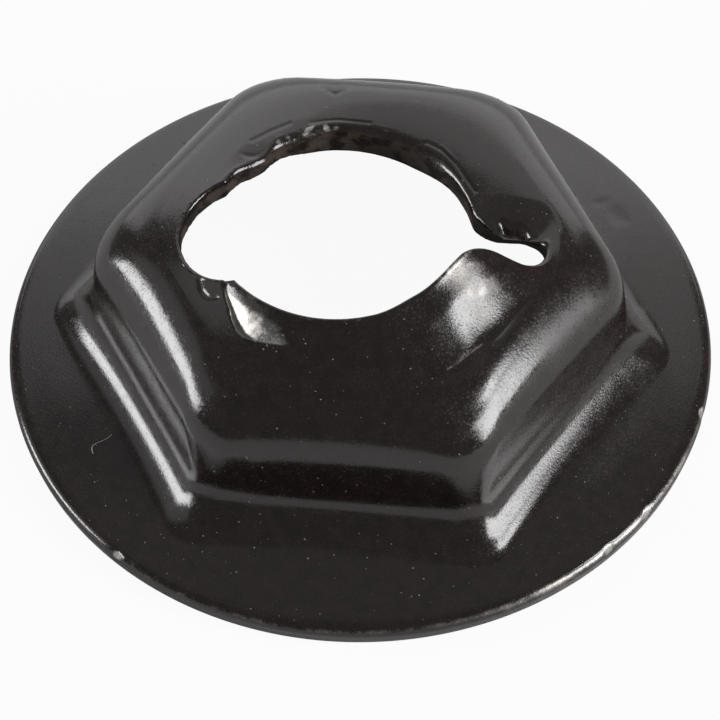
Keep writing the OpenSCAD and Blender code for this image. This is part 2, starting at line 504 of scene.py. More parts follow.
        way = (y - s["bore_y"]).way_to(x - s["bore_x"])
        off = way.turn_from(s["slot_turn"])
        start = ((x - s["bore_x"]) ** 2.0 + (y - s["bore_y"]) ** 2.0).root()
        r = on_crown.between(start, self.hole_edge(s, way, off) + lip_in)
        whole = start + depth * slope.sin()
        climb = (whole - r) / (whole - s["bore_radius"])
        lift = s["lip_pitch"] * (self.lip_share(s, off) - 0.5) * climb.most(0.0) ** s["lip_focus"]
        crown_up = climb.between(up - drop, s["lip_height"]) + lift - depth / slope.cos()
        crowned = 1.0 - on_crown.below(1e-6)
        return {
            "x": crowned.choose(s["bore_x"] + r * way.cos(), x),
            "y": crowned.choose(s["bore_y"] + r * way.sin(), y),
            "z": crowned.choose(crown_up, sheet_up),
            "depth": depth / s["sheet"],
            "crown": on_crown,
        }

    def tree(self, finish: bpy.types.Material) -> bpy.types.NodeTree:
        """Builds the geometry tree of the sheet.

        Args:
            finish: Material of the sheet.

        Returns:
            The tree, whose inputs are the sizes by name.
        """
        kinds = {size.name: "Int" if size.type is int else "Float" for size in fields(self)}
        tree = new_tree("pressed sheet", "GeometryNodeTree", kinds, {"Sheet": "Geometry"})
        nodes, links = tree.nodes, tree.links
        sizes = {name: Field(tree, nodes["in"].outputs[name]) for name in kinds}
        grid = nodes.new("GeometryNodeMeshGrid")
        links.new((sizes["columns"] + 1.0).socket, grid.inputs["Vertices X"])
        grid.inputs["Vertices Y"].default_value = SECTION_ROWS + 1
        shape = self.rule(tree, sizes)
        flow = grid.outputs["Mesh"]
        for name in ("depth", "crown"):
            store = nodes.new("GeometryNodeStoreNamedAttribute")
            store.inputs["Name"].default_value = name
            links.new(flow, store.inputs["Geometry"])
            links.new(shape[name].socket, store.inputs["Value"])
            flow = store.outputs["Geometry"]
        place = nodes.new("ShaderNodeCombineXYZ")
        for i, axis in enumerate("xyz"):
            links.new(shape[axis].socket, place.inputs[i])
        move = nodes.new("GeometryNodeSetPosition")
        links.new(flow, move.inputs["Geometry"])
        links.new(place.outputs[0], move.inputs["Position"])
        merge = nodes.new("GeometryNodeMergeByDistance")
        merge.inputs["Distance"].default_value = WELD
        links.new(move.outputs["Geometry"], merge.inputs["Geometry"])
        shade = nodes.new("GeometryNodeSetShadeSmooth")
        links.new(merge.outputs["Geometry"], shade.inputs[0])
        finish_tree(tree, shade.outputs[0], finish)
        return tree

    def build(self, name: str, finish: bpy.types.Material) -> bpy.types.Object:
        """Makes the sheet as a plain mesh.

        Args:
            name: Name of the piece.
            finish: Material of the sheet.

        Returns:
            The piece, at the origin.
        """
        return run_tree(name, self.tree(finish), asdict(self))


class Face(Enum):
    """Views in which a line is drawn, each by the two axes that it shows."""

    TOP = (0, 1)
    FRONT = (0, 2)


@dataclass(frozen=True)
class Stroke:
    """A fine line on the sheet, along points in two of its axes. Lengths are millimetres."""

    path: tuple[tuple[float, float], ...]
    half_width: float
    depth: float
    bright: float = 0.0
    face: Face = Face.TOP

    def share(self, points: np.ndarray) -> np.ndarray:
        """How fully each point lies under the line.

        Args:
            points: Places in millimetres, one row each.

        Returns:
            One on the line, falling softly to nought beside it.
        """
        flat = points[:, self.face.value]
        nearest = np.full(len(points), np.inf)
        for start, end in zip(self.path[:-1], self.path[1:]):
            first, run = np.array(start), np.array(end) - np.array(start)
            along = np.clip((flat - first) @ run / (run @ run), 0.0, 1.0)
            nearest = np.minimum(nearest, np.linalg.norm(flat - first - along[:, None] * run, axis=1))
        return np.exp(-((nearest / self.half_width) ** 2))


DIE_ARCS = (
    Stroke(((-2.48, 2.05), (-2.06, 2.28), (-1.65, 2.52), (-1.23, 2.76)), 0.035, 0.022),
    Stroke(((-2.27, 2.4), (-1.86, 2.68), (-1.44, 2.91)), 0.035, 0.016),
    Stroke(((-1.02, 2.94), (-0.39, 2.99), (0.25, 2.92)), 0.04, 0.014),
    Stroke(
        ((0.87, 2.54), (1.19, 2.41), (1.46, 2.41), (1.75, 2.22), (2.02, 1.88), (2.42, 1.12)), 0.035, 0.018
    ),
    Stroke(((1.75, 2.32), (2.02, 1.93)), 0.03, -0.014, 0.2),
)
KNOCKS = (
    Stroke(((-0.77, 4.08), (-0.49, 3.8), (-0.17, 4.05)), 0.05, 0.03),
    Stroke(((2.44, -2.95), (2.2, -3.16), (1.95, -3.39), (1.73, -3.56)), 0.03, 0.008, 0.4),
    Stroke(((5.29, 3.52), (5.54, 3.31), (5.77, 2.97)), 0.05, 0.02),
    Stroke(((5.59, 1.44), (5.8, 0.96), (5.95, 0.49)), 0.045, 0.02),
    Stroke(((-2.23, 2.79), (-1.43, 2.84), (-0.62, 2.82)), 0.04, 0.012, face=Face.FRONT),
)
SCUFFS = (
    Stroke(((3.9, -2.5), (4.9, -1.1)), 0.42, 0.0),
    Stroke(((6.2, -1.4), (5.5, -2.9), (4.7, -3.9)), 0.3, 0.0),
)
NOTCH = Stroke(((-3.24, -1.36), (-3.2, -1.6), (-3.07, -1.8), (-2.9, -1.85)), 0.04, 0.022)
TEAR = Stroke(((3.02, 0.42), (3.14, 0.36), (3.3, 0.36), (3.44, 0.27)), 0.07, 0.2)


@dataclass
class SheetSkin:
    """Points of the sheet while it is marked. Lengths are millimetres, angles are degrees."""

    piece: bpy.types.Object
    sheet: PressedSheet
    rolled: Span = Span(-16.0, 12.0, 4.0)
    cut_reach: Ends = (0.97, 1.0)
    cut_depth: Ends = (0.12, 0.35)
    torn_share: float = 0.35
    points: np.ndarray = field(init=False)
    depth: np.ndarray = field(init=False)
    crown: np.ndarray = field(init=False)
    wear_and_highlight: np.ndarray = field(init=False)
    torn: np.ndarray = field(init=False)

    def __post_init__(self) -> None:
        """Takes the points of the plain sheet from its mesh."""
        mesh = self.piece.data
        count = len(mesh.vertices)
        flat = np.empty(count * 3)
        mesh.vertices.foreach_get("co", flat)
        self.points = flat.reshape(-1, 3) / MM
        self.wear_and_highlight, self.torn = np.zeros(count), np.zeros(count)
        for name in ("depth", "crown"):
            values = np.empty(count)
            mesh.attributes[name].data.foreach_get("value", values)
            setattr(self, name, values)

    def about(self, x: float = 0.0, y: float = 0.0) -> tuple[np.ndarray, np.ndarray]:
        """Distances from an upright axis, and directions about it."""
        across, back = self.points[:, 0] - x, self.points[:, 1] - y
        return np.hypot(across, back), np.degrees(np.arctan2(back, across)) % 360.0

    def about_hole(self) -> tuple[np.ndarray, np.ndarray]:
        """Distances from the hole's axis, and directions about it."""
        return self.about(self.sheet.bore_x / MM, self.sheet.bore_y / MM)

    def along(self, way: float) -> np.ndarray:
        """Distances from the nut's axis in one level direction."""
        turn = math.radians(way)
        return self.points[:, 0] * math.cos(turn) + self.points[:, 1] * math.sin(turn)

    def move(self, way: np.ndarray | float, by: np.ndarray) -> None:
        """Moves the points level, by lengths in given directions."""
        self.points[:, 0] += by * np.cos(np.radians(way))
        self.points[:, 1] += by * np.sin(np.radians(way))

    def upper(self) -> np.ndarray:
        """One on the upper face, fading to nought halfway through the sheet."""
        return 1.0 - smooth(0.0, 0.5, self.depth)

    def on_crown(self) -> np.ndarray:
        """One on the upper face of the crown."""
        return self.upper() * (self.crown > 0)

    def store(self) -> None:
        """Puts the points back into the mesh, with a mask of bare steel that is worn in places and a painted
        highlight in others, and masks of where it is cut and scuffed.
        """
        mesh = self.piece.data
        mesh.vertices.foreach_set("co", (self.points * MM).astype(np.float32).ravel())
        rolled = self.rolled.share((self.about_hole()[1] + 180.0) % 360.0 - 180.0)
        cut = smooth(*self.cut_reach, self.crown) * smooth(*self.cut_depth, self.depth) * (1.0 - rolled)
        masks = {
            "wear_and_highlight": self.wear_and_highlight,
            "cut": np.maximum(cut, self.torn_share * self.torn),
            "scuff": sum(line.share(self.points) for line in SCUFFS) * self.upper(),
        }
        for name, values in masks.items():
            layer = mesh.attributes.new(name, "FLOAT", "POINT")
            layer.data.foreach_set("value", np.clip(values, 0.0, 1.0).astype(np.float32))
        mesh.update()


class Mark(Protocol):
    """Anything that the press or use did to the sheet. Lengths are millimetres, angles are degrees."""

    def press(self, skin: SheetSkin) -> None:
        """Puts the mark on the sheet."""


@dataclass(frozen=True)
class WornEdgesAndHighlights:
    """Oxide worn off the rim, most of all at the front, and off the upper edge of the lip, where the extra
    bare steel also paints highlights.
    """

    rim: float = 0.13
    rim_front: float = 0.14
    front: Span = Span(208.0, 340.0, 20.0)
    rim_bright: float = 0.28
    bright: Span = Span(288.0, 340.0, 12.0)
    edge_depth: float = 0.1
    edge_out: Ends = (7.36, 7.44)
    side: float = 0.45
    side_out: Ends = (7.43, 7.47)
    side_depth: Ends = (0.15, 0.3)
    lip: float = 0.24
    lip_bright: float = 0.45
    lapped: Span = Span(88.0, 122.0, 6.0)
    lip_reach: Ends = (0.97, 1.0)
    lip_depth: Ends = (0.05, 0.3)
    patch_grain: float = 5.0
    patch_edge: Ends = (-0.1, 0.5)
    seed: float = 6.0

    def press(self, skin: SheetSkin) -> None:
        """Bares the steel on the rim and in patches on the lip, partly worn and partly painted highlights.
        """
        out, turn = skin.about()
        # Painted highlight: the extra bare steel at the front and lower right lightens the rim's upper edge
        # and outer side, on top of its even worn band.
        worn = self.rim_bright * self.bright.share(turn) + self.rim_front * self.front.share(turn) + self.rim
        edge = np.exp(-(((skin.depth - self.edge_depth) / self.edge_depth) ** 2))
        edge *= smooth(*self.edge_out, out)
        side = smooth(*self.side_out, out) * smooth(*self.side_depth, skin.depth)
        skin.wear_and_highlight += worn * (edge + self.side * side)
        # Painted highlight: patchy bare steel on the lip's upper edge draws its bright dotted edge, partly
        # worn, most strongly at the lapped back.
        lip = smooth(*self.lip_reach, skin.crown) * (1.0 - smooth(*self.lip_depth, skin.depth))
        patchy = smooth(*self.patch_edge, grain(skin.points, self.patch_grain, self.seed))
        skin.wear_and_highlight += lip * patchy * (self.lip + self.lip_bright * self.lapped.share(skin.about_hole()[1]))


@dataclass(frozen=True)
class SlotHump:
    """Raised side of the slot, flattened to one slope that ends in a crease on its left."""

    top: float = 4.85
    fall: float = 0.72
    turn: float = -43.0
    span: Span = Span(314.0, 336.0, 10.0)
    start: float = 2.56
    lead: Ends = (-0.35, 0.1)
    end: float = 3.74
    shorter: float = 0.25
    shorten: Ends = (318.0, 330.0)
    crease: float = 0.06
    fade: float = 0.55
    crease_stop: Ends = (311.0, 322.0)
    sink: float = 0.14
    sink_stop: Ends = (314.0, 326.0)
    wear_and_highlight: float = 0.42
    wear_and_highlight_power: float = 1.5

    def press(self, skin: SheetSkin) -> None:
        """Flattens the hump and bares its steel, partly worn and partly a painted highlight."""
        a = skin.about_hole()[1]
        out = skin.along(self.turn)
        flat = self.top - self.fall * (out - self.start)
        soft = self.crease + self.fade * smooth(*self.crease_stop, a)
        end = self.end - self.shorter * smooth(*self.shorten, a)
        inside = self.span.share(a) * (1.0 - smooth(end - soft, end + soft, out))
        inside *= smooth(self.start + self.lead[0], self.start + self.lead[1], out) * skin.on_crown()
        lift = flat - skin.points[:, 2]
        sunk = np.maximum(lift, 0.0) - self.sink * np.tanh(np.maximum(-lift, 0.0) / self.sink)
        skin.points[:, 2] += (lift + (sunk - lift) * smooth(*self.sink_stop, a)) * inside
        # Painted highlight: bare steel over the hump brightens its reflection of the lamps; its raised top
        # is partly worn too.
        skin.wear_and_highlight += self.wear_and_highlight * inside**self.wear_and_highlight_power


@dataclass(frozen=True)
class CoinFacet:
    """Facet coined beside the lip on the front left, deepest along its left edge."""

    drop: float = 0.22
    length: float = 1.5
    turn: float = 220.0
    middle: float = 3.13
    lean: float = 36.0
    ragged: float = 1.5
    ragged_grain: float = 5.0
    seed: float = 4.0
    left_edge: Ends = (-0.03, 0.05)
    foot: float = 3.46
    foot_turn: float = 232.0
    foot_lean: float = 0.0092
    foot_edge: Ends = (-0.03, 0.03)
    stop: float = 290.0
    inner: float = 2.86
    inner_share: float = 0.2
    width: float = 0.55
    bare: Ends = (2.86, 3.05)
    wear_and_highlight: float = 0.8
    wear_and_highlight_power: float = 0.4

    def press(self, skin: SheetSkin) -> None:
        """Presses the facet down and bares it bright, partly worn and partly a painted highlight."""
        r, a = skin.about_hole()
        ragged = self.ragged * grain(skin.points, self.ragged_grain, self.seed)
        along = np.radians(a - (self.turn + (r - self.middle) * self.lean + ragged)) * r
        low = self.foot - (a - self.foot_turn) * self.foot_lean
        inside = smooth(*self.left_edge, along) * (1.0 - smooth(*self.foot_edge, r - low)) * (a < self.stop)
        fall = np.clip(1.0 - along / self.length, 0.0, 1.0) * skin.on_crown()
        outward = np.clip((r - self.inner) / self.width, 0.0, 1.0)
        down = self.drop * (self.inner_share + (1.0 - self.inner_share) * outward)
        skin.points[:, 2] -= down * inside * fall
        # Painted highlight: bare steel over the coined facet makes it bright, partly worn and partly
        # standing in for its reflection.
        skin.wear_and_highlight += self.wear_and_highlight * inside * fall**self.wear_and_highlight_power * smooth(*self.bare, r)


@dataclass(frozen=True)
class ThinWall:
    """Wall drawn thinner on its inner side, and a burr under the back of the lip."""

    inner: Ends = (0.5, 1.0)
    drawn: float = 0.1
    wall_out: Ends = (5.3, 6.2)
    wall_up: Ends = (2.6, 3.2)
    burr: float = 0.13
    burr_span: Span = Span(45.0, 118.0, 14.0)
    burr_reach: Ends = (0.85, 1.0)
    burr_inward: float = 0.4

    def press(self, skin: SheetSkin) -> None:
        """Thins the wall and draws the burr down."""
        out, turn = skin.about()
        a = skin.about_hole()[1]
        under = smooth(*self.inner, skin.depth)
        wall = under * (skin.crown <= 0) * (1.0 - smooth(*self.wall_out, out))
        wall *= 1.0 - smooth(*self.wall_up, skin.points[:, 2])
        skin.move(turn, self.drawn * wall)
        burr = self.burr * under * smooth(*self.burr_reach, skin.crown) * self.burr_span.share(a)
        skin.points[:, 2] -= burr
        skin.move(a, -self.burr_inward * burr)


@dataclass(frozen=True)
class DrawnLines:
    """The die's arcs, the knocks and scratches, the notch and the tear."""

    lines: tuple[Stroke, ...] = (*DIE_ARCS, *KNOCKS, NOTCH, TEAR)

    def press(self, skin: SheetSkin) -> None:
        """Draws the lines into the upper face, or into the front of the wall."""
        upper = skin.upper()
        skin.torn = TEAR.share(skin.points) * skin.on_crown()
        for line in self.lines:
            share = line.share(skin.points) * upper
            if line.face is Face.FRONT:
                skin.points[:, 1] += line.depth * share * (skin.points[:, 1] < 0)
            else:
                skin.points[:, 2] -= line.depth * share
            skin.wear_and_highlight += line.bright * share


@dataclass(frozen=True)
class LipForm:
    """Lip swollen beside the slot, lumped behind the bay and lapped over at the back."""

    reach: Ends = (0.7, 1.0)
    swell: float = 0.09
    swell_span: Span = Span(292.0, 332.0, 10.0)
    lump: float = 0.2
    lump_turn: float = 134.0
    lump_half: float = 11.0
    lump_top: float = 1.4
    lump_taper: float = 0.4
    lap: float = 0.1
    lap_span: Span = Span(102.0, 120.0, 7.0)
    lap_taper: float = 0.9
    lap_depth: Ends = (0.2, 1.0)

    def press(self, skin: SheetSkin) -> None:
        """Pushes the lip into the hole."""
        a = skin.about_hole()[1]
        near = smooth(*self.reach, skin.crown)
        lump = np.exp(-(((a - self.lump_turn) / self.lump_half) ** 2)) * near**2
        lap = self.lap_span.share(a) * near**2
        push = self.swell * self.swell_span.share(a) * near
        push += self.lump * lump * (self.lump_top - self.lump_taper * skin.depth)
        push += self.lap * lap * (1.0 - self.lap_taper * smooth(*self.lap_depth, skin.depth))
        skin.move(a, -push)


@dataclass(frozen=True)
class BentFlap:
    """Sheet along the back of the slot, bent down so that its cut face turns under."""

    bend: float = 0.27
    start: Ends = (-0.1, 0.55)
    end: Ends = (0.62, 1.35)
    length: Span = Span(3.0, 4.1, 0.3)
    tuck: float = 1.3
    drop: float = 0.6

    def press(self, skin: SheetSkin) -> None:
        """Bends the flap over the slot and down."""
        r, a = skin.about_hole()
        slot = math.degrees(skin.sheet.slot_turn)
        along, aside = r * np.cos(np.radians(a - slot)), r * np.sin(np.radians(a - slot))
        share = smooth(*self.start, aside) * (1.0 - smooth(*self.end, aside)) * self.length.share(along)
        share *= skin.crown > 0
        skin.move(slot - 90.0, self.bend * share * (1.0 - self.tuck * skin.depth))
        skin.points[:, 2] -= self.drop * self.bend * share


@dataclass(frozen=True)
class SkewedSide:
    """Front left side of the hexagon, turned a little about its middle."""

    skew: float = 0.04
    side: float = 210.0
    out: Span = Span(3.6, 5.6, 0.6)
    left_end: Ends = (-3.2, -2.0)
    front_end: Ends = (2.7, 3.6)

    def press(self, skin: SheetSkin) -> None:
        """Turns the side."""
        way = math.degrees(skin.sheet.hexagon_turn) + self.side
        along = skin.along(way + 90.0)
        share = self.out.share(skin.along(way)) * smooth(*self.left_end, along)
        share *= 1.0 - smooth(*self.front_end, along)
        skin.move(way, -self.skew * along * share)


@dataclass(frozen=True)
class TornEdges:
    """Cut faces of the hole, torn most of all round the bay and at the slot's low corner."""

    reach: Ends = (0.94, 1.0)
    tear: float = 0.009
    least: float = 0.3
    bay: Span = Span(108.0, 225.0, 8.0)
    corner: Span = Span(0.0, 14.0, 3.0)
    coarse: float = 6.0
    coarse_seed: float = 1.0
    fine: float = 14.0
    fine_seed: float = 2.0
    fine_share: float = 0.8
    upward: float = 0.6

    def press(self, skin: SheetSkin) -> None:
        """Roughens the edge."""
        a = skin.about_hole()[1]
        near = smooth(*self.reach, skin.crown)
        spots = skin.points[near > 0]
        rough = grain(spots, self.coarse, self.coarse_seed)
        rough += self.fine_share * grain(spots, self.fine, self.fine_seed)
        push = np.zeros(len(near))
        push[near > 0] = self.tear * rough
        push *= (self.least + self.bay.share(a) + self.corner.share(a)) * near
        skin.move(a, push)
        skin.points[:, 2] += self.upward * push


@dataclass(frozen=True)
class RimNicks:
    """Dents in the upper edge of the rim, bare of oxide."""

    turns: tuple[float, ...] = (227.8, 344.1, 321.9, 312.6)
    dent: float = 0.06
    half: float = 0.11
    bare_half: float = 0.1
    height: float = 0.42

    def press(self, skin: SheetSkin) -> None:
        """Dents the rim at each place."""
        edge = skin.sheet.flange_radius / MM
        for turn in self.turns:
            way = math.radians(turn)
            spot = np.array([edge * math.cos(way), edge * math.sin(way), self.height])
            away = np.linalg.norm(skin.points - spot, axis=1)
            skin.move(turn, -self.dent * np.exp(-((away / self.half) ** 2)))
            skin.wear_and_highlight += np.exp(-((away / self.bare_half) ** 4))


@dataclass(frozen=True)
class Waviness:
    """Slight wandering of the whole sheet inside its rim."""

    wave: float = 0.012
    swells: float = 0.5
    seed: float = 11.0
    still: Ends = (6.4, 7.2)

    def press(self, skin: SheetSkin) -> None:
        """Moves the sheet a little in each axis."""
        inside = 1.0 - smooth(*self.still, skin.about()[0])
        for axis in range(3):
            skin.points[:, axis] += self.wave * inside * grain(skin.points, self.swells, self.seed + axis)


MARKS: tuple[Mark, ...] = (
    WornEdgesAndHighlights(),
    SlotHump(),
    CoinFacet(),
    ThinWall(),
    DrawnLines(),
    LipForm(),
    BentFlap(),
    SkewedSide(),
    TornEdges(),
    RimNicks(),
    Waviness(),
)


def press_marks(piece: bpy.types.Object, sheet: PressedSheet) -> None:
    """Puts all the marks on the sheet in order.

    Args:
        piece: The plain sheet.
        sheet: Its sizes.
    """
    skin = SheetSkin(piece, sheet)
    for mark in MARKS:
        mark.press(skin)
    skin.store()


def cloud(tree: bpy.types.NodeTree, place: bpy.types.NodeSocket, size: Field, detail: float) -> Field:
    """Adds soft noise.

    Args:
        tree: Shader tree or group.
        place: Socket that carries the place.
        size: Size of one patch, in metres.
        detail: Number of finer layers.

    Returns:
        Noise from nought to one, about a half.
    """
    node = tree.nodes.new("ShaderNodeTexNoise")
    node.inputs["Detail"].default_value = detail
    tree.links.new(place, node.inputs["Vector"])
    tree.links.new(size.math("DIVIDE", 1.0, size).socket, node.inputs["Scale"])
    return Field(tree, node.outputs[0])


BLOTCH_EDGE = (0.32, 0.68)
BARE_EDGE = (0.18, 0.85)


def oxide_skin() -> bpy.types.NodeTree:
    """Builds the group that gives the oxide its blotches and its fine grain."""
    sizes = {"Place": "Vector", "Blotch Size": "Float", "Grain Size": "Float"}
    tree = new_tree("oxide skin", "ShaderNodeTree", sizes, {"Blotch": "Float", "Grain": "Float"})
    start, end = tree.nodes["in"], tree.nodes["out"]
    blotch = cloud(tree, start.outputs["Place"], Field(tree, start.outputs["Blotch Size"]), detail=5.0)
    fine = cloud(tree, start.outputs["Place"], Field(tree, start.outputs["Grain Size"]), detail=3.0)
    tree.links.new(blotch.step(*BLOTCH_EDGE).socket, end.inputs["Blotch"])
    tree.links.new(fine.socket, end.inputs["Grain"])
    return tree


def bare_steel_and_highlight() -> bpy.types.NodeTree:
    """Builds the group that breaks up the mask of worn spots and painted highlights into a mask of bare
    steel.
    """
    sizes = {"Wear And Highlight": "Float", "Blotch": "Float", "Grain": "Float"}
    tree = new_tree("bare steel and highlight", "ShaderNodeTree", sizes, {"Mask": "Float"})
    start, end = tree.nodes["in"], tree.nodes["out"]
    wear_and_highlight, blotch, fine = (Field(tree, start.outputs[name]) for name in sizes)
    everywhere, by_blotch, by_grain = 0.45, 0.5, 0.8
    broken = wear_and_highlight * (everywhere + by_blotch * blotch + by_grain * fine)
    tree.links.new(broken.step(*BARE_EDGE).socket, end.inputs["Mask"])
    return tree


def mix_colour(share: Field, low: Colour, high: Colour) -> bpy.types.NodeSocket:
    """Mixes two colours.

    Args:
        share: Share of the second colour.
        low: First colour, as a socket or as red, green and blue.
        high: Second colour, in the same way.

    Returns:
        Socket that carries the mixed colour.
    """
    node = share.tree.nodes.new("ShaderNodeMix")
    node.data_type = "RGBA"
    share.tree.links.new(share.socket, node.inputs[0])
    for socket, colour in ((node.inputs[6], low), (node.inputs[7], high)):
        if isinstance(colour, tuple):
            socket.default_value = (*colour, 1.0)
        else:
            share.tree.links.new(colour, socket)
    return node.outputs[2]


@dataclass(frozen=True)
class BlackOxide:
    """Semi-gloss black oxide, brown in patches, worn to bare steel, painted with highlights in the same bare
    steel, and rough where it was cut.
    """

    black: Rgb = (0.0082, 0.0055, 0.0052)
    brown: Rgb = (0.018, 0.0113, 0.0094)
    torn: Rgb = (0.07, 0.052, 0.042)
    soot: Rgb = (0.012, 0.008, 0.0065)
    # Colour of bare steel, also used for the painted highlights on the rim, the lip, the hump and the facet.
    steel: Rgb = (0.5, 0.475, 0.45)
    brown_blotch: float = 0.25
    brown_edge: Ends = (0.35, 0.95)
    torn_blotch: float = 0.6
    torn_edge: Ends = (0.5, 1.05)
    roughness: float = 0.12
    blotch_rough: float = 0.05
    grain_rough: float = 0.16
    grain_edge: Ends = (0.48, 0.74)
    cut_rough: float = 0.25
    bare_rough: float = 0.22
    scuff_rough: float = 0.34
    refraction: float = 1.68
    blotch: float = 0.3 * MM
    fine: float = 0.047 * MM
    relief: float = 0.0021 * MM
    cut_relief: float = 3.0

    def material(self) -> bpy.types.Material:
        """Builds the finish."""
        finish = bpy.data.materials.new("black_oxide_steel")
        finish.use_nodes = True
        tree = finish.node_tree
        shader = tree.nodes["Principled BSDF"]
        place = tree.nodes.new("ShaderNodeTexCoord").outputs["Object"]
        skin = tree.nodes.new("ShaderNodeGroup")
        skin.node_tree = oxide_skin()
        skin.inputs["Blotch Size"].default_value = self.blotch
        skin.inputs["Grain Size"].default_value = self.fine
        tree.links.new(place, skin.inputs["Place"])
        blotch, fine = (Field(tree, skin.outputs[name]) for name in ("Blotch", "Grain"))
        marks = {}
        for name in ("wear_and_highlight", "cut", "scuff"):
            marks[name] = tree.nodes.new("ShaderNodeAttribute")
            marks[name].attribute_name = name
        worn = tree.nodes.new("ShaderNodeGroup")
        worn.node_tree = bare_steel_and_highlight()
        tree.links.new(marks["wear_and_highlight"].outputs["Fac"], worn.inputs["Wear And Highlight"])
        tree.links.new(blotch.socket, worn.inputs["Blotch"])
        tree.links.new(fine.socket, worn.inputs["Grain"])
        bare, cut = Field(tree, worn.outputs["Mask"]), Field(tree, marks["cut"].outputs["Fac"])

        patchy = (self.brown_blotch * blotch + fine).step(*self.brown_edge)
        colour = mix_colour(patchy, self.black, self.brown)
        stained = (self.torn_blotch * blotch + fine).step(*self.torn_edge)
        stain = mix_colour(stained, self.soot, self.torn)
        colour = mix_colour(cut, colour, stain)
        # Painted highlight: where the bare steel mask stands for highlights, it lightens the colour and
        # makes it metallic.
        colour = mix_colour(bare, colour, self.steel)
        scuff = Field(tree, marks["scuff"].outputs["Fac"])
        rough = self.roughness + self.blotch_rough * blotch + self.grain_rough * fine.step(*self.grain_edge)
        rough = rough + self.cut_rough * cut + self.bare_rough * bare + self.scuff_rough * scuff * fine
        tree.links.new(colour, shader.inputs["Base Color"])
        tree.links.new(bare.socket, shader.inputs["Metallic"])
        tree.links.new(rough.socket, shader.inputs["Roughness"])
        shader.inputs["IOR"].default_value = self.refraction
        bump = tree.nodes.new("ShaderNodeBump")
        bump.inputs["Distance"].default_value = self.relief
        tree.links.new((fine * (1.0 + self.cut_relief * cut)).socket, bump.inputs["Height"])
        tree.links.new(bump.outputs["Normal"], shader.inputs["Normal"])
        return finish


@dataclass(frozen=True)
class PaleDust:
    """Matt pale dust, a little uneven in colour."""

    light: Rgb = (0.26, 0.25, 0.24)
    dark: Rgb = (0.06, 0.056, 0.052)
    patch: float = 0.4 * MM
    roughness: float = 0.85

    def material(self, name: str) -> bpy.types.Material:
        """Builds the finish under a name."""
        finish = bpy.data.materials.new(name)
        finish.use_nodes = True
        tree = finish.node_tree
        shader = tree.nodes["Principled BSDF"]
        shader.inputs["Roughness"].default_value = self.roughness
        skin = tree.nodes.new("ShaderNodeGroup")
        skin.node_tree = oxide_skin()
        skin.inputs["Blotch Size"].default_value = self.patch
        tree.links.new(tree.nodes.new("ShaderNodeTexCoord").outputs["Object"], skin.inputs["Place"])
        share = Field(tree, skin.outputs["Blotch"])
        tree.links.new(mix_colour(share, self.dark, self.light), shader.inputs["Base Color"])
        return finish


@dataclass
class DustSpecks:
    """Tiny pale specks strewn over the upper face of the sheet. Lengths are metres."""

    density: float = 8e6
    smallest: float = 0.004 * MM
    largest: float = 0.026 * MM
    seed: int = 5
    skin: float = 0.004
    crowding: float = 3.0
    shape: tuple[float, float, float] = (1.0, 0.75, 0.5)

    def tree(self, finish: bpy.types.Material) -> bpy.types.NodeTree:
        """Builds the geometry tree of the specks.

        Args:
            finish: Material of the specks.

        Returns:
            The tree, whose inputs are the sheet and the sizes by name.
        """
        kinds = {"sheet": "Object", "seed": "Int"}
        kinds.update({size: "Float" for size in ("density", "smallest", "largest")})
        tree = new_tree("dust specks", "GeometryNodeTree", kinds, {"Specks": "Geometry"})
        nodes, links = tree.nodes, tree.links
        ports = nodes["in"].outputs
        surface = nodes.new("GeometryNodeObjectInfo")
        links.new(ports["sheet"], surface.inputs["Object"])
        depth = nodes.new("GeometryNodeInputNamedAttribute")
        depth.inputs["Name"].default_value = "depth"
        strew = nodes.new("GeometryNodeDistributePointsOnFaces")
        links.new(surface.outputs["Geometry"], strew.inputs["Mesh"])
        links.new(Field(tree, depth.outputs["Attribute"]).below(self.skin).socket, strew.inputs["Selection"])
        links.new(ports["density"], strew.inputs["Density"])
        links.new(ports["seed"], strew.inputs["Seed"])
        chance = nodes.new("FunctionNodeRandomValue")
        links.new(ports["seed"], chance.inputs["Seed"])
        small, large = Field(tree, ports["smallest"]), Field(tree, ports["largest"])
        size = (Field(tree, chance.outputs[1]) ** self.crowding).between(small, large)
        scale = nodes.new("ShaderNodeCombineXYZ")
        for i, share in enumerate(self.shape):
            links.new((size * share).socket, scale.inputs[i])
        ball = nodes.new("GeometryNodeMeshIcoSphere")
        ball.inputs["Radius"].default_value = 1.0
        place = nodes.new("GeometryNodeInstanceOnPoints")
        links.new(strew.outputs["Points"], place.inputs["Points"])
        links.new(strew.outputs["Rotation"], place.inputs["Rotation"])
        links.new(ball.outputs["Mesh"], place.inputs["Instance"])
        links.new(scale.outputs[0], place.inputs["Scale"])
        finish_tree(tree, place.outputs["Instances"], finish)
        return tree

    def build(self, name: str, sheet: bpy.types.Object, finish: bpy.types.Material) -> bpy.types.Object:
        """Makes the specks as a plain mesh.

        Args:
            name: Name of the piece.
            sheet: Piece that the specks lie on.
            finish: Material of the specks.

        Returns:
            The piece, at the origin.
        """
        return run_tree(name, self.tree(finish), {**asdict(self), "sheet": sheet})


LINT_SPOTS = {"start": "Start", "bend": "Start Handle", "turn": "End Handle", "end": "End"}


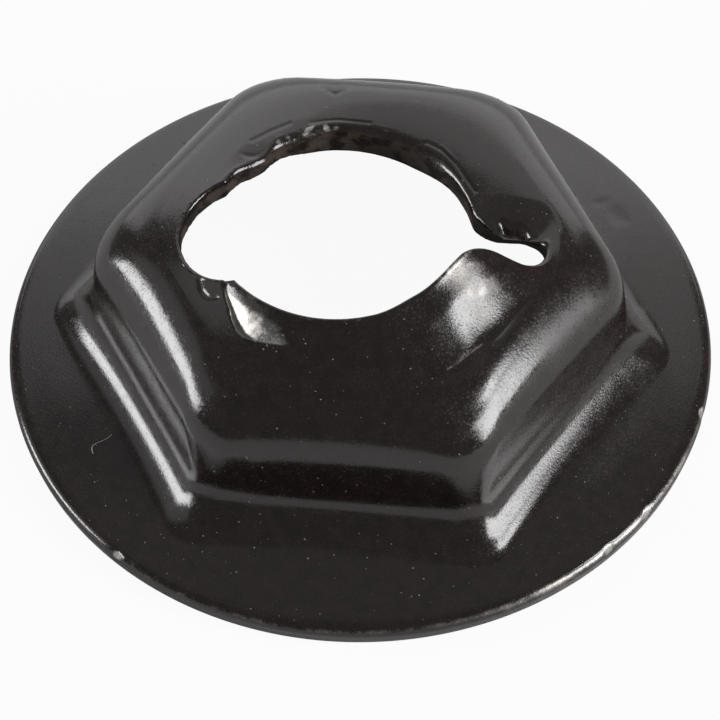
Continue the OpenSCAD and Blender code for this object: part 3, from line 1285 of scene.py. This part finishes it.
@dataclass
class LintFibre:
    """One short pale fibre that lies on the flange. Lengths are metres."""

    start: tuple[float, float] = (-5.56 * MM, -3.18 * MM)
    bend: tuple[float, float] = (-5.72 * MM, -2.86 * MM)
    turn: tuple[float, float] = (-5.36 * MM, -2.98 * MM)
    end: tuple[float, float] = (-5.19 * MM, -2.77 * MM)
    radius: float = 0.011 * MM
    sides: int = 6

    def tree(self, finish: bpy.types.Material) -> bpy.types.NodeTree:
        """Builds the geometry tree of the fibre.

        Args:
            finish: Material of the fibre.

        Returns:
            The tree, whose inputs are the four points and the radius by name.
        """
        kinds = {**{spot: "Vector" for spot in LINT_SPOTS}, "radius": "Float"}
        tree = new_tree("lint fibre", "GeometryNodeTree", kinds, {"Fibre": "Geometry"})
        nodes, links = tree.nodes, tree.links
        ports = nodes["in"].outputs
        path = nodes.new("GeometryNodeCurvePrimitiveBezierSegment")
        for spot, title in LINT_SPOTS.items():
            links.new(ports[spot], path.inputs[title])
        ring = nodes.new("GeometryNodeCurvePrimitiveCircle")
        ring.inputs["Resolution"].default_value = self.sides
        links.new(ports["radius"], ring.inputs["Radius"])
        tube = nodes.new("GeometryNodeCurveToMesh")
        tube.inputs["Fill Caps"].default_value = True
        links.new(path.outputs["Curve"], tube.inputs["Curve"])
        links.new(ring.outputs["Curve"], tube.inputs["Profile Curve"])
        finish_tree(tree, tube.outputs["Mesh"], finish)
        return tree

    def build(self, name: str, sheet: PressedSheet, finish: bpy.types.Material) -> bpy.types.Object:
        """Makes the fibre as a plain mesh.

        Args:
            name: Name of the piece.
            sheet: Sizes of the sheet, for the height of its flange.
            finish: Material of the fibre.

        Returns:
            The piece, at the origin.
        """
        values: dict[str, object] = {"radius": self.radius}
        for spot in LINT_SPOTS:
            x, y = getattr(self, spot)
            values[spot] = (x, y, sheet.flange_height(x, y) + self.radius)
        return run_tree(name, self.tree(finish), values)


@dataclass(frozen=True)
class SoftBox:
    """A soft lamp that faces the nut. Angles are degrees, lengths are metres, and a glow of one is white."""

    name: str
    turn: float
    height: float
    away: float
    wide: float
    tall: float
    glow: float

    def hang(self) -> None:
        """Puts the lamp into the scene."""
        data = bpy.data.lights.new(self.name, "AREA")
        data.shape = "RECTANGLE"
        data.size = self.wide
        data.size_y = self.tall
        data.energy = self.glow * math.pi * self.wide * self.tall
        holder = bpy.data.objects.new(self.name, data)
        turn, height = math.radians(self.turn), math.radians(self.height)
        level = math.cos(height)
        way = Vector((level * math.cos(turn), level * math.sin(turn), math.sin(height)))
        holder.location = way * self.away
        holder.rotation_euler = way.to_track_quat("Z", "Y").to_euler()
        holder.visible_camera = False
        bpy.context.scene.collection.objects.link(holder)


SOFT_BOXES = (
    SoftBox("left_box", 179.0, 15.0, 0.16, 0.09, 0.05, 9.9),
    SoftBox("left_card", 172.0, 37.0, 0.2, 0.14, 0.07, 0.4),
    SoftBox("right_box", 340.0, 21.5, 0.16, 0.079, 0.088, 10.0),
    SoftBox("hump_card", 350.0, 45.0, 0.16, 0.034, 0.038, 11.0),
    SoftBox("back_card_low", 90.0, 17.0, 0.3, 0.5, 0.19, 1.0),
    SoftBox("back_card_high", 90.0, 45.0, 0.3, 0.3, 0.12, 0.62),
    SoftBox("ceiling_card", 90.0, 70.0, 0.3, 0.3, 0.16, 0.1),
)


@dataclass
class Studio:
    """Floor, lamps, world and camera. Lengths are metres, angles are degrees."""

    distance: float = 75.6 * MM
    elevation: float = 52.7
    roll: float = -0.49
    lens: float = 175.83
    sensor: float = 36.0
    nearest: float = 1.0 * MM
    aim_x: float = -0.0071 * MM
    aim_up: float = -0.1857 * MM
    floor_half: float = 1.5
    floor_grey: float = 0.7
    floor_rough: float = 0.9
    floor_shine: float = 0.1
    floor_glow: float = 0.94
    room: float = 0.135

    def camera(self) -> None:
        """Places the camera at the photograph's view."""
        tilt = math.radians(self.elevation)
        ahead = Vector((0.0, math.cos(tilt), -math.sin(tilt)))
        upward = Vector((0.0, math.sin(tilt), math.cos(tilt)))
        across = Vector((1.0, 0.0, 0.0))
        place = across * self.aim_x + upward * self.aim_up - ahead * self.distance
        turn = Matrix((across, upward, -ahead)).transposed().to_4x4()
        data = bpy.data.cameras.new("camera")
        data.lens = self.lens
        data.sensor_width = self.sensor
        data.clip_start = self.nearest
        holder = bpy.data.objects.new("camera", data)
        roll = Matrix.Rotation(math.radians(self.roll), 4, "Z")
        holder.matrix_world = Matrix.Translation(place) @ turn @ roll
        bpy.context.scene.collection.objects.link(holder)
        bpy.context.scene.camera = holder

    def floor(self) -> bpy.types.Object:
        """Lays the white floor under the nut."""
        half = self.floor_half
        mesh = bpy.data.meshes.new("floor")
        corners = [(-half, -half, 0), (half, -half, 0), (half, half, 0), (-half, half, 0)]
        mesh.from_pydata(corners, [], [(0, 1, 2, 3)])
        made = new_object("floor", mesh)
        finish = bpy.data.materials.new("floor_white")
        finish.use_nodes = True
        tree = finish.node_tree
        shader = tree.nodes["Principled BSDF"]
        shader.inputs["Base Color"].default_value = (self.floor_grey, self.floor_grey, self.floor_grey, 1.0)
        shader.inputs["Roughness"].default_value = self.floor_rough
        shader.inputs["Specular IOR Level"].default_value = self.floor_shine
        white = tree.nodes.new("ShaderNodeEmission")
        path = tree.nodes.new("ShaderNodeLightPath")
        seen = Field(tree, path.outputs["Is Camera Ray"]) * self.floor_glow
        mix = tree.nodes.new("ShaderNodeMixShader")
        tree.links.new(seen.socket, mix.inputs[0])
        tree.links.new(shader.outputs[0], mix.inputs[1])
        tree.links.new(white.outputs[0], mix.inputs[2])
        tree.links.new(mix.outputs[0], tree.nodes["Material Output"].inputs["Surface"])
        mesh.materials.append(finish)
        return made

    def world(self) -> None:
        """Fills the shadows with a dim grey room."""
        scene = bpy.context.scene
        scene.world = bpy.data.worlds.new("room")
        scene.world.use_nodes = True
        back = scene.world.node_tree.nodes["Background"]
        back.inputs["Color"].default_value = (self.room, self.room, self.room, 1.0)

    def build(self) -> None:
        """Sets the whole studio."""
        self.camera()
        self.floor()
        self.world()
        for box in SOFT_BOXES:
            box.hang()
        bpy.context.scene.view_settings.view_transform = "Standard"


def main() -> None:
    """Builds the studio and the nut, and reports each piece."""
    logging.basicConfig(level=logging.INFO, format="%(message)s")
    Studio().build()
    oxide, dust = BlackOxide().material(), PaleDust().material("pale_dust")
    pale = PaleDust(light=(0.5, 0.49, 0.47), dark=(0.3, 0.29, 0.28)).material("pale_fibre")
    sheet = PressedSheet()
    nut = sheet.build("pressed_nut", oxide)
    press_marks(nut, sheet)
    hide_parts("flange_nut")
    specks = DustSpecks().build("dust_specks", nut, dust)
    lint = LintFibre().build("lint_fibre", sheet, pale)
    for piece in (nut, specks, lint):
        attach(piece, "root")
        LOG.info("%s: %d faces", piece.name, len(piece.data.polygons))


if __name__ == "__main__":
    main()
